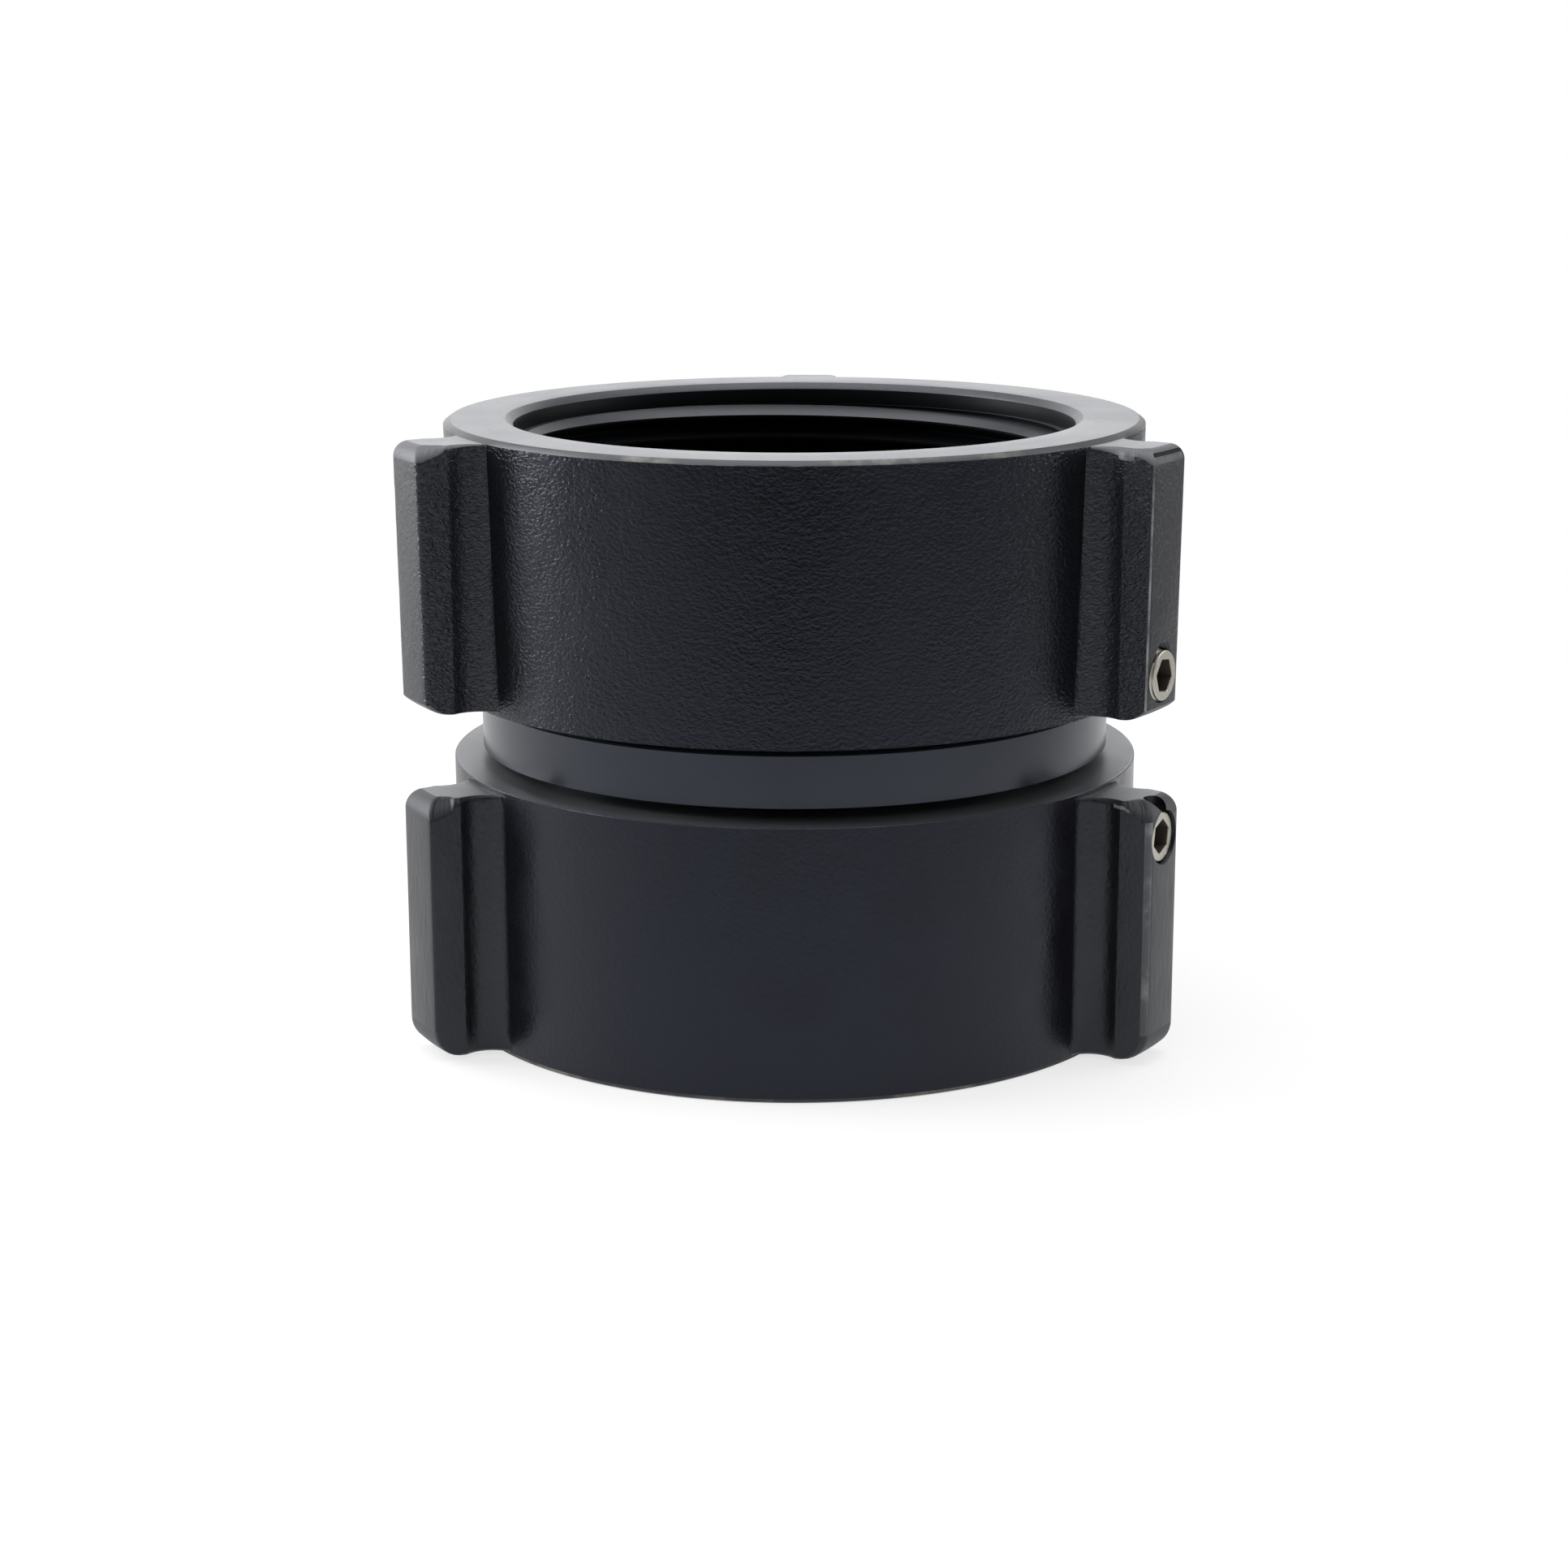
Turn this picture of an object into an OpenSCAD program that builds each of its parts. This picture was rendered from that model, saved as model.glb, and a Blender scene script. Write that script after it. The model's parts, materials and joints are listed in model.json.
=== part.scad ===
// Double-female swivel adapter for a threaded fire hose.
// Two threaded rings turn on one sleeve, each on a full row of balls. The origin is at the
// middle of the sleeve, on the axis, and the upper ring's mouth faces +Z.

/* [Hose thread] */
// Radius to the crests of the female thread
thread_r = 36.3; // [20:0.05:80]
// Height of the thread form, from crest to root
thread_form = 2.05; // [1:0.05:3]
// Length of full thread
thread_len = 16; // [8:0.5:40]
// Depth of the plain counterbore ahead of the thread
counter_depth = 3; // [2:0.1:6]
// Radial clearance of the counterbore over the thread's roots
counter_clear = 0.15; // [0:0.05:0.5]
// Width of the bevel at the mouth
mouth_bevel_w = 1.1; // [0.3:0.1:3]
// Depth of the bevel at the mouth
mouth_bevel_h = 0.85; // [0.3:0.05:1.5]

/* [Swivel rings] */
// Wall of a ring outside its ball race
ring_wall = 6.21; // [5:0.01:12]
// How much wider the upper ring is at its mouth than at its inner face, in radius
upper_flare = 0.5; // [0:0.05:1]
// Clear space between the two rings
ring_gap = 10; // [9:0.5:30]
// How far the bevel at the mouth runs in from the ring's outside at its inner face
rim_inset = 0.35; // [0.1:0.05:1]
// Height of that bevel for each millimetre of its width
rim_slope = 0.7; // [0.3:0.1:1.5]
// Bevel round the inner face
inner_bevel = 0.2; // [0.1:0.05:0.6]

/* [Rocker lugs] */
// Number of lugs round a ring
lug_count = 3; // [2:1:5]
// How far a lug stands out from the ring
lug_out = 9.75; // [8:0.05:20]
// Step from a ring's faces to the ends of its lugs
lug_step = 0.6; // [0.2:0.05:1.5]
// Width of a lug's outer face
lug_w = 8.8; // [8.5:0.1:14]
// Bevel on the long edges of the outer face
lug_bevel = 0.4; // [0.1:0.05:1]
// Radius of the flute down each side of a lug
flute_r = 4; // [3:0.1:5]
// Width of a lug at its waist, between the flutes
waist_w = 7.8; // [7.6:0.1:8.4]
// Distance from the ring out to the waist
waist_out = 3.2; // [2:0.1:3.3]
// Rounding of the lugs' upper corners
lug_round_top = 2.4; // [1:0.1:4]
// Rounding of the lugs' lower corners
lug_round_bottom = 3.8; // [1:0.1:4.5]
// Direction of the upper ring's plugged lug, from +X towards +Y
upper_turn = -32.4; // [-180:0.1:180]
// Direction of the lower ring's plugged lug
lower_turn = -31.3; // [-180:0.1:180]

/* [Gasket] */
// Thickness of the flat rubber gasket
gasket_h = 6.35; // [3:0.05:12]
// How much wider the gasket's hole is than the waterway, in radius
gasket_step = 0.75; // [0:0.05:3]
// Depth that the recess for the gasket is cut past the thread's roots
recess_cut = 1.65; // [1:0.05:3]
// Width of the ledge that the gasket rests on
ledge_w = 1.92; // [1:0.01:4]
// Clearance round the gasket and above it
gasket_clear = 0.1; // [0.05:0.05:0.3]
// How far the end of the sleeve stays below the gasket
seat_gap = 0.15; // [0.05:0.05:0.3]

/* [Sleeve] */
// Wall of the sleeve
sleeve_wall = 6.25; // [5:0.05:9]
// How far the shoulder between the rings stands out from the sleeve
shoulder_out = 5.55; // [2:0.05:7]
// Height of the shoulder
shoulder_h = 7.1; // [3:0.1:8.5]
// Bevel on the shoulder's edges and the sleeve's ends
sleeve_bevel = 0.3; // [0.1:0.05:0.8]
// Radial running clearance between ring and sleeve
bearing_clear = 0.08; // [0.03:0.01:0.1]

/* [Ball races] */
// Diameter of the balls
ball_d = 6.35; // [3.17:0.01:6.8]
// Distance from a ring's inner face to the middle of its balls
race_inset = 6; // [5:0.1:20]
// Wall between the race and the ledge under the gasket
race_wall = 1.9; // [0.5:0.1:8]
// Clearance between a ball and its grooves
race_clear = 0.075; // [0.03:0.005:0.15]
// Least space between two balls in the row
ball_space = 0.05; // [0.02:0.01:0.5]

/* [Race plugs] */
// Pitch radius of the M8 screw that closes the filling hole
plug_r = 3.6; // [3.35:0.05:3.65]
// Width across the flats of its hexagon socket
plug_flats = 4; // [3:0.5:5]
// Depth of the socket
plug_socket = 5; // [2:0.5:6]
// Bevel on the outer end of the screw
plug_bevel = 0.2; // [0.1:0.05:0.6]
// Radius of the countersink at the mouth of its hole
sink_r = 5; // [4:0.1:5.5]
// Depth of the same countersink
sink_depth = 0.5; // [0.2:0.1:1]
// Clearance round the screw
plug_clear = 0.05; // [0.02:0.01:0.2]
// How far the upper plug stands proud of its lug
upper_plug_proud = 0.4; // [-1:0.1:1]
// How far the lower plug stands proud of its lug; below 0 it is sunk
lower_plug_proud = -0.9; // [-1:0.1:1]

/* [Hidden] */
$fn = 96;

// Cutters run past the faces that they cut by this much.
past = 1;
half_gap = ring_gap / 2;

// Radii, worked out from the thread: outwards to the gasket's recess, in over its ledge to
// the sleeve and the waterway, and out again through the race to the ring's outside
root_r = thread_r + thread_form;
counter_r = root_r + counter_clear;
mouth_r = counter_r + mouth_bevel_w;
recess_r = root_r + recess_cut;
neck_r = recess_r - ledge_w;
sleeve_r = neck_r - bearing_clear;
waterway_r = sleeve_r - sleeve_wall;
gasket_bore = waterway_r + gasket_step;
shoulder_r = sleeve_r + shoulder_out;
race_r = sleeve_r + bearing_clear / 2;
groove_r = ball_d / 2 + race_clear;
race_out_r = race_r + groove_r;
ring_r = race_out_r + ring_wall;
rim_r = ring_r - rim_inset;
lug_r = ring_r + lug_out;

// Heights inside a ring, measured from its inner face towards its mouth
neck_h = race_inset + groove_r + race_wall;
recess_h = gasket_h + gasket_clear;
ring_h = neck_h + recess_h + thread_len + counter_depth;

// Ball rows: as many balls as go round, and a filling hole just wide enough for one
race_z = half_gap + race_inset;
ball_count = floor(180 / asin((ball_d + ball_space) / (2 * race_r)));
fill_r = ball_d / 2 + 2 * race_clear;

// Where the outer end of the plugged lug is at the height of the plug: the upper lugs are
// drawn in towards the inner face by as much as the ring is
upper_face_r = lug_r - upper_flare * (1 - race_inset / ring_h);
lower_face_r = lug_r;

// Lug outline, with X pointing out along the lug
waist_x = ring_r + waist_out;
flute_y = waist_w / 2 + flute_r;

// The part of a corner that lies outside a quarter circle, with its tip at the origin and
// its sides along -X and -Y
module corner_waste(r) {
    difference() {
        translate([-r, -r]) square(r + past);
        translate([-r, -r]) circle(r);
    }
}

// Plan view of a lug, from the axis to its outer face
module lug_plan() {
    difference() {
        union() {
            translate([0, -flute_y]) square([waist_x, 2 * flute_y]);
            polygon([
                [0, -lug_w / 2], [lug_r + past, -lug_w / 2],
                [lug_r + past, lug_w / 2], [0, lug_w / 2]]);
        }
        for (side = [-1, 1]) {
            translate([waist_x, side * flute_y]) circle(flute_r);
            polygon([
                [lug_r - lug_bevel, side * lug_w / 2], [lug_r, side * (lug_w / 2 - lug_bevel)],
                [lug_r + past, side * (lug_w / 2 - lug_bevel)], [lug_r + past, side * lug_w],
                [lug_r - lug_bevel, side * lug_w]]);
        }
    }
}

// Half section of a ring's body, from the inner face at 0 to the mouth
module body_profile(flare) {
    polygon([
        [0, 0], [ring_r - inner_bevel, 0], [ring_r, inner_bevel],
        [ring_r + flare, ring_h - rim_slope * (rim_inset + flare)], [rim_r, ring_h],
        [0, ring_h]]);
}

// Half section that the lugs are turned to: stepped ends with rounded corners
module lug_profile(flare) {
    difference() {
        polygon([
            [0, lug_step], [lug_r - flare, lug_step], [lug_r, ring_h - lug_step],
            [0, ring_h - lug_step]]);
        translate([lug_r, ring_h - lug_step]) corner_waste(lug_round_top);
        translate([lug_r - flare, lug_step]) mirror([0, 1, 0]) corner_waste(lug_round_bottom);
    }
}

// Half section of the hole through a ring, with the inner face at 0 and the mouth at ring_h
module ring_bore() {
    translate([0, -past]) square([neck_r, neck_h + 2 * past]);
    polygon([
        [0, -past], [neck_r + sleeve_bevel + past, -past],
        [neck_r, sleeve_bevel], [0, sleeve_bevel]]);
    translate([race_r, race_inset]) circle(groove_r);
    translate([0, neck_h]) square([recess_r, recess_h]);
    square([thread_r, ring_h]);
    translate([0, ring_h - counter_depth]) square([counter_r, counter_depth + past]);
    polygon([
        [0, ring_h - mouth_bevel_h], [counter_r, ring_h - mouth_bevel_h],
        [mouth_r, ring_h], [mouth_r, ring_h + past], [0, ring_h + past]]);
}

// Hole for the race plug, along +X: a drilling just wide enough for a ball breaks into the
// groove, and the screw's own hole stops there
module plug_hole(face_r) {
    depth = face_r - race_out_r;
    rotate([0, 90, 0]) {
        translate([0, 0, race_r]) cylinder(r = fill_r, h = depth);
        translate([0, 0, race_out_r]) rotate_extrude() polygon([
            [0, 0], [plug_r + plug_clear, 0], [plug_r + plug_clear, depth - sink_depth],
            [sink_r, depth], [sink_r, depth + past], [0, depth + past]]);
    }
}

// Stands a shape that was drawn mouth up on its mouth instead
module turn_over(over) {
    translate([0, 0, over ? ring_h : 0]) mirror([0, 0, over ? 1 : 0]) children();
}

// A ring as it stands, mouth up or mouth down. Its lugs are turned the same way up in both
// places; the body, the bore and the plug hole change ends.
module swivel_ring(mouth_up, flare, face_r) {
    difference() {
        union() {
            turn_over(!mouth_up) rotate_extrude() body_profile(flare);
            intersection() {
                for (i = [0 : lug_count - 1])
                    rotate(i * 360 / lug_count) linear_extrude(ring_h) lug_plan();
                rotate_extrude() lug_profile(flare);
            }
        }
        turn_over(!mouth_up) {
            rotate_extrude() ring_bore();
            translate([0, 0, race_inset]) plug_hole(face_r);
        }
    }
}

module ball_row() {
    for (i = [0 : ball_count - 1])
        rotate((i + 0.5) * 360 / ball_count) translate([race_r, 0, 0]) sphere(d = ball_d);
}

// Set screw along +X, with its flat inner end against the outer race
module race_plug(end_r) {
    len = end_r - race_out_r;
    translate([race_out_r, 0, 0]) rotate([0, 90, 0])
        difference() {
            rotate_extrude() polygon([
                [0, 0], [plug_r, 0], [plug_r, len - plug_bevel],
                [plug_r - plug_bevel, len], [0, len]]);
            translate([0, 0, len - plug_socket])
                cylinder(r = plug_flats / sqrt(3), h = plug_socket + past, $fn = 6);
        }
}

module gasket() {
    rotate_extrude() translate([gasket_bore, 0])
        square([recess_r - gasket_clear - gasket_bore, gasket_h]);
}

// Half of the sleeve's half section, above the middle of the shoulder
module sleeve_profile() {
    end_z = half_gap + neck_h - seat_gap;
    difference() {
        union() {
            translate([waterway_r, 0]) polygon([
                [0, 0], [sleeve_r - waterway_r, 0],
                [sleeve_r - waterway_r, end_z - sleeve_bevel],
                [sleeve_r - waterway_r - sleeve_bevel, end_z],
                [sleeve_bevel, end_z], [0, end_z - sleeve_bevel]]);
            polygon([
                [waterway_r, 0], [shoulder_r, 0],
                [shoulder_r, shoulder_h / 2 - sleeve_bevel],
                [shoulder_r - sleeve_bevel, shoulder_h / 2],
                [waterway_r, shoulder_h / 2]]);
        }
        translate([race_r, race_z]) circle(groove_r);
    }
}

module sleeve_body() {
    color("#3a3d42") rotate_extrude() {
        sleeve_profile();
        mirror([0, 1]) sleeve_profile();
    }
}

module upper_ring() {
    color("#24262a") rotate(upper_turn) translate([0, 0, half_gap])
        swivel_ring(true, upper_flare, upper_face_r);
}

module lower_ring() {
    color("#1e2024") rotate(lower_turn) translate([0, 0, -half_gap - ring_h])
        swivel_ring(false, 0, lower_face_r);
}

module upper_balls() {
    color("#c9ccd0") rotate(upper_turn) translate([0, 0, race_z]) ball_row();
}

module lower_balls() {
    color("#c9ccd0") rotate(lower_turn) translate([0, 0, -race_z]) ball_row();
}

module upper_plug() {
    color("#a9a79c") rotate(upper_turn) translate([0, 0, race_z])
        race_plug(upper_face_r + upper_plug_proud);
}

module lower_plug() {
    color("#a9a79c") rotate(lower_turn) translate([0, 0, -race_z])
        race_plug(lower_face_r + lower_plug_proud);
}

module upper_gasket() {
    color("#15161a") translate([0, 0, half_gap + neck_h]) gasket();
}

module lower_gasket() {
    color("#15161a") translate([0, 0, -half_gap - neck_h - gasket_h]) gasket();
}

sleeve_body();
upper_ring();
lower_ring();
upper_balls();
lower_balls();
upper_plug();
lower_plug();
upper_gasket();
lower_gasket();
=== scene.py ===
import json
import math

import bmesh
import bpy
import numpy as np
from mathutils import Matrix, Vector, noise


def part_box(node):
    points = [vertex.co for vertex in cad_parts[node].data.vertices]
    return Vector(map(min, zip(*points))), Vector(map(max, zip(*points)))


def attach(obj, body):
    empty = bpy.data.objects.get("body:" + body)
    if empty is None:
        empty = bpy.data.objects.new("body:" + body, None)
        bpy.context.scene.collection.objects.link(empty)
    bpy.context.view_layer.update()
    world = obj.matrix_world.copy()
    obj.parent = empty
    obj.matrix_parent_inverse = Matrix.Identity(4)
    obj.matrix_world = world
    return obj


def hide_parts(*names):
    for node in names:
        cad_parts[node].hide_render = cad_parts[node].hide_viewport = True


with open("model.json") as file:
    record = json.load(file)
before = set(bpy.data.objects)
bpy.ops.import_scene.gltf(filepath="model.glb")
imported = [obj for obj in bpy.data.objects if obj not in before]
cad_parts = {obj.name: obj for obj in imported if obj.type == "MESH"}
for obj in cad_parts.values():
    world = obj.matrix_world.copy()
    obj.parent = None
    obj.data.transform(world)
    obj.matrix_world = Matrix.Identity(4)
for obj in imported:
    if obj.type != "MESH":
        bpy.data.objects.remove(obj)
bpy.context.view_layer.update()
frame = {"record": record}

record = frame["record"]
mm = 0.001


def mountRadius(name):
    return next(m["dims"]["r_mm"] for m in record["mounts"] if m["name"] == name)


def nodeSpan(node):
    low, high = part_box(node)
    return low.z / mm, high.z / mm


ballHeight = {key: sum(nodeSpan(key + "_balls")) / 2 for key in ("upper", "lower")}
ringFace = nodeSpan("upper_ring")[0]


def linearColor(hexText):
    # sRGB hex to the linear numbers that shaders take
    parts = [int(hexText[i:i + 2], 16) / 255 for i in (1, 3, 5)]
    return [c / 12.92 if c <= 0.04045 else ((c + 0.055) / 1.055) ** 2.4 for c in parts] + [1.0]


def addNode(tree, kind, inputs, **settings):
    # inputs hold plain values, sockets to link from, or nodes that stand for their first output
    node = tree.nodes.new(kind)
    for key, value in settings.items():
        setattr(node, key, value)
    for key, value in inputs.items():
        if isinstance(value, bpy.types.Node):
            value = value.outputs[0]
        if isinstance(value, bpy.types.NodeSocket):
            tree.links.new(value, node.inputs[key])
        else:
            node.inputs[key].default_value = value
    return node


def newObject(name, data):
    thing = bpy.data.objects.new(name, data)
    bpy.context.scene.collection.objects.link(thing)
    return thing


def meshFrom(name, points, faces, slots=None):
    # points in millimetres; faces are quads or triangles of point numbers
    mesh = bpy.data.meshes.new(name)
    mesh.from_pydata([tuple(p) for p in np.asarray(points) * mm], [], [tuple(f) for f in faces])
    if slots is not None:
        mesh.polygons.foreach_set("material_index", np.asarray(slots, dtype=np.int32))
    tidy = bmesh.new()
    tidy.from_mesh(mesh)
    bmesh.ops.remove_doubles(tidy, verts=tidy.verts, dist=1e-7)
    bmesh.ops.dissolve_degenerate(tidy, dist=1e-8, edges=tidy.edges)
    bmesh.ops.recalc_face_normals(tidy, faces=tidy.faces)
    tidy.to_mesh(mesh)
    tidy.free()
    return mesh


def smoothBelow(thing, degrees):
    thing.data.shade_smooth()
    thing.data.set_sharp_from_angle(angle=math.radians(degrees))


def keepResult(thing, modifier):
    # the modifier's result becomes the mesh
    graph = bpy.context.evaluated_depsgraph_get()
    result = bpy.data.meshes.new_from_object(thing.evaluated_get(graph))
    thing.modifiers.remove(modifier)
    thing.data = result


def polar(reach, angle, z):
    return np.stack([reach * np.cos(angle), reach * np.sin(angle), z], 1)


# height, back, lens and sensor in millimetres, angles in degrees, and clip in metres
view = {"height": 94.71, "back": 438.22, "pan": -0.1964, "pitch": 13.5124, "roll": -0.1062, "lens": 73.33,
        "sensor": 36, "clip": (0.02, 50)}


def makeCamera():
    pan, pitch, roll = (math.radians(view[k]) for k in ("pan", "pitch", "roll"))
    ahead = Vector((math.sin(pan) * math.cos(pitch), math.cos(pan) * math.cos(pitch), -math.sin(pitch)))
    right = Vector((math.cos(pan), -math.sin(pan), 0))
    up = right.cross(ahead)
    side = math.cos(roll) * right + math.sin(roll) * up
    top = math.cos(roll) * up - math.sin(roll) * right
    camera = newObject("camera", bpy.data.cameras.new("camera"))
    camera.matrix_world = Matrix((
        (side.x, top.x, -ahead.x, 0),
        (side.y, top.y, -ahead.y, -view["back"] * mm),
        (side.z, top.z, -ahead.z, view["height"] * mm),
        (0, 0, 0, 1)))
    camera.data.lens = view["lens"]
    camera.data.sensor_width = view["sensor"]
    camera.data.clip_start, camera.data.clip_end = view["clip"]
    bpy.context.scene.camera = camera


# in metres and watts; fill is the world's strength away from the camera's own rays
studio = {
    "paper": {"left": -1.5, "right": 0.25, "front": -0.28, "back": 0.9, "bend": 0.35, "bendSteps": 12,
              "top": 0.8, "shadow": 0.3, "shadowReach": (0.06, 0.22), "tone": "#f4f4f4"},
    "flag": {"width": 0.26, "away": -0.52, "low": -0.04, "top": 0.5, "tone": "#0a0a0a"},
    "side": {"size": (0.5, 0.7), "away": 0.6, "back": 0.15, "up": 0.3, "watts": (7.0, 2.2)},
    "top": {"size": (0.8, 0.8), "up": 0.75, "back": 0.1, "watts": 6.0},
    "rear": {"size": (0.9, 0.5), "away": 0.85, "up": 0.3, "watts": 1.5, "aim": 0.04},
    "fill": 0.35,
}
white = (1, 1, 1, 1)


def startMaterial(name):
    # a material with an empty tree, and the coordinates that its patterns follow
    material = bpy.data.materials.new(name)
    material.use_nodes = True
    tree = material.node_tree
    tree.nodes.clear()
    return material, tree, addNode(tree, "ShaderNodeTexCoord", {}).outputs["Object"]


def paperMaterial():
    # white to the camera and in reflections; near the object part of it is lit paper, for the shadow
    material, tree, place = startMaterial("whitePaperSweep")
    paper = studio["paper"]
    ray = addNode(tree, "ShaderNodeLightPath", {}).outputs
    seen = addNode(tree, "ShaderNodeMath", {0: ray["Is Camera Ray"], 1: ray["Is Glossy Ray"]},
                   operation="MAXIMUM")
    seen = addNode(tree, "ShaderNodeMath", {0: seen, 1: ray["Is Transmission Ray"]}, operation="MAXIMUM")
    away = addNode(tree, "ShaderNodeVectorMath", {0: place}, operation="LENGTH").outputs["Value"]
    keep = addNode(tree, "ShaderNodeMapRange", {
        "Value": away, "From Min": paper["shadowReach"][0], "From Max": paper["shadowReach"][1],
        "To Min": 1 - paper["shadow"], "To Max": 1.0})
    share = addNode(tree, "ShaderNodeMath", {0: seen, 1: keep}, operation="MULTIPLY")
    matt = addNode(tree, "ShaderNodeBsdfDiffuse", {"Color": linearColor(paper["tone"])})
    glow = addNode(tree, "ShaderNodeEmission", {"Color": white, "Strength": 1.0})
    mix = addNode(tree, "ShaderNodeMixShader", {0: share, 1: matt, 2: glow})
    addNode(tree, "ShaderNodeOutputMaterial", {"Surface": mix})
    return material


def areaLamp(name, size, watts, place, aim=0):
    # aimed at this height on the axis
    lamp = bpy.data.lights.new(name, "AREA")
    lamp.shape = "RECTANGLE"
    lamp.size, lamp.size_y = size
    lamp.energy = watts
    thing = newObject(name, lamp)
    thing.location = place
    thing.rotation_euler = (Vector((0, 0, aim)) - Vector(place)).to_track_quat("-Z", "Y").to_euler()


def sheetAlong(name, path, left, right):
    # a sheet from left to right, following a path of y and z in metres
    points, faces = [], []
    for y, z in path:
        points += [(left, y, z), (right, y, z)]
    for i in range(len(path) - 1):
        faces.append((2 * i, 2 * i + 1, 2 * i + 3, 2 * i + 2))
    mesh = bpy.data.meshes.new(name)
    mesh.from_pydata(points, [], faces)
    return newObject(name, mesh)


def makeStudio():
    base = nodeSpan("lower_ring")[0] * mm
    paper, flag = studio["paper"], studio["flag"]
    path = [(paper["front"], base), (paper["back"], base)]
    for step in range(1, paper["bendSteps"] + 1):
        turn = math.pi / 2 * step / paper["bendSteps"]
        path.append((paper["back"] + paper["bend"] * math.sin(turn),
                     base + paper["bend"] * (1 - math.cos(turn))))
    path.append((path[-1][0], paper["top"]))
    sweep = sheetAlong("paperSweep", path, paper["left"], paper["right"])
    sweep.data.shade_smooth()
    sweep.data.materials.append(paperMaterial())

    # black card behind the camera, which the fronts of the rings reflect; the camera can't see
    # it from any side
    card = sheetAlong("blackFlag", [(flag["away"], flag["low"]), (flag["away"], flag["top"])],
                      -flag["width"] / 2, flag["width"] / 2)
    cloth = bpy.data.materials.new("blackFlagCloth")
    cloth.use_nodes = True
    shader = cloth.node_tree.nodes["Principled BSDF"]
    shader.inputs["Base Color"].default_value = linearColor(flag["tone"])
    shader.inputs["Roughness"].default_value = 1.0
    card.data.materials.append(cloth)
    card.visible_camera = False

    world = bpy.data.worlds.new("studioWorld")
    bpy.context.scene.world = world
    world.use_nodes = True
    tree = world.node_tree
    tree.nodes.clear()
    ray = addNode(tree, "ShaderNodeLightPath", {}).outputs
    level = addNode(tree, "ShaderNodeMapRange", {
        "Value": ray["Is Camera Ray"], "To Min": studio["fill"], "To Max": 1.0})
    sky = addNode(tree, "ShaderNodeBackground", {"Color": white, "Strength": level})
    addNode(tree, "ShaderNodeOutputWorld", {"Surface": sky})

    side, top, rear = studio["side"], studio["top"], studio["rear"]
    for name, sign, watts in (("leftSoftbox", -1, side["watts"][0]), ("rightSoftbox", 1, side["watts"][1])):
        areaLamp(name, side["size"], watts, (sign * side["away"], side["back"], side["up"]))
    areaLamp("topSoftbox", top["size"], top["watts"], (0, top["back"], top["up"]))
    areaLamp("rearSoftbox", rear["size"], rear["watts"], (0, rear["away"], rear["up"]), rear["aim"])
    bpy.context.scene.view_settings.view_transform = "Standard"


# tint of what the anodising mirrors: blue on the rings' sides; the nearly grey tint on their lugs is painted
# reflection, lifting what the lugs mirror
blueSheen = (0.52, 0.57, 0.74, 1)
neutralSheen = (0.85, 0.88, 0.98, 1)
# what most cast looks share; fade is the bump's strength out at the second radius of fading, in
# millimetres, and noiseSpan holds most of what a noise gives
plainCast = {"sheen": neutralSheen, "fade": 1.0, "fading": (51, 57), "roughness": 0.36, "drift": 0.05}
noiseSpan = (0.3, 0.7)


def castAnodised(name, look):
    # black anodised aluminium as cast or drawn: grain is the pebbling left by the mould, in
    # millimetres, pulled out sideways; mottle is the size of the clouds in the anodising, and
    # drift how far their roughness strays
    look = plainCast | look
    material, tree, place = startMaterial(name)
    spread = addNode(tree, "ShaderNodeVectorMath", {0: place, 1: (1, 1, look["stretch"])},
                     operation="MULTIPLY")
    pebble = addNode(tree, "ShaderNodeTexNoise", {
        "Vector": spread, "Scale": 1000 / look["grain"], "Detail": 1.5, "Roughness": 0.45,
        "Distortion": look["twist"]})
    cloud = addNode(tree, "ShaderNodeTexNoise", {
        "Vector": place, "Scale": 1000 / look["mottle"], "Detail": 4.0, "Roughness": 0.6})
    tone = addNode(tree, "ShaderNodeMix", {  # 6, 7 and the output 2 are its sockets for colours
        "Factor": cloud, 6: linearColor(look["base"]), 7: linearColor(look["pale"])}, data_type="RGBA")
    rough = addNode(tree, "ShaderNodeMapRange", {
        "Value": cloud, "From Min": noiseSpan[0], "From Max": noiseSpan[1],
        "To Min": look["roughness"] - look["drift"], "To Max": look["roughness"] + look["drift"]})
    across = addNode(tree, "ShaderNodeVectorMath", {0: place, 1: (1, 1, 0)}, operation="MULTIPLY")
    reach = addNode(tree, "ShaderNodeVectorMath", {0: across}, operation="LENGTH").outputs["Value"]
    strength = addNode(tree, "ShaderNodeMapRange", {
        "Value": reach, "From Min": look["fading"][0] * mm, "From Max": look["fading"][1] * mm,
        "To Min": 1.0, "To Max": look["fade"]})
    bump = addNode(tree, "ShaderNodeBump", {
        "Height": pebble, "Strength": strength, "Distance": look["depth"] * mm})
    shader = addNode(tree, "ShaderNodeBsdfPrincipled", {
        "Base Color": tone.outputs[2], "Roughness": rough, "Normal": bump, "Specular Tint": look["sheen"]})
    addNode(tree, "ShaderNodeOutputMaterial", {"Surface": shader})
    return material


# shared by the turned finishes, sizes in millimetres: the tool's rings and their depth, the
# clouds and the spots, the part of the clouds that is worn through, and of the spots that is pits
turning = {"pitch": 0.6, "depth": 0.002, "cloud": 16.667, "spot": 0.7143, "worn": (0.62, 0.8),
           "wearShift": 0.2, "pitted": (0.3, 0.36), "pitDark": 0.35, "drift": 0.04}
plainTurned = {"bare": "#8d8e91", "metallic": 0.0, "sheen": white, "specular": 0.5, "wear": 0, "pits": 0}


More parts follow.
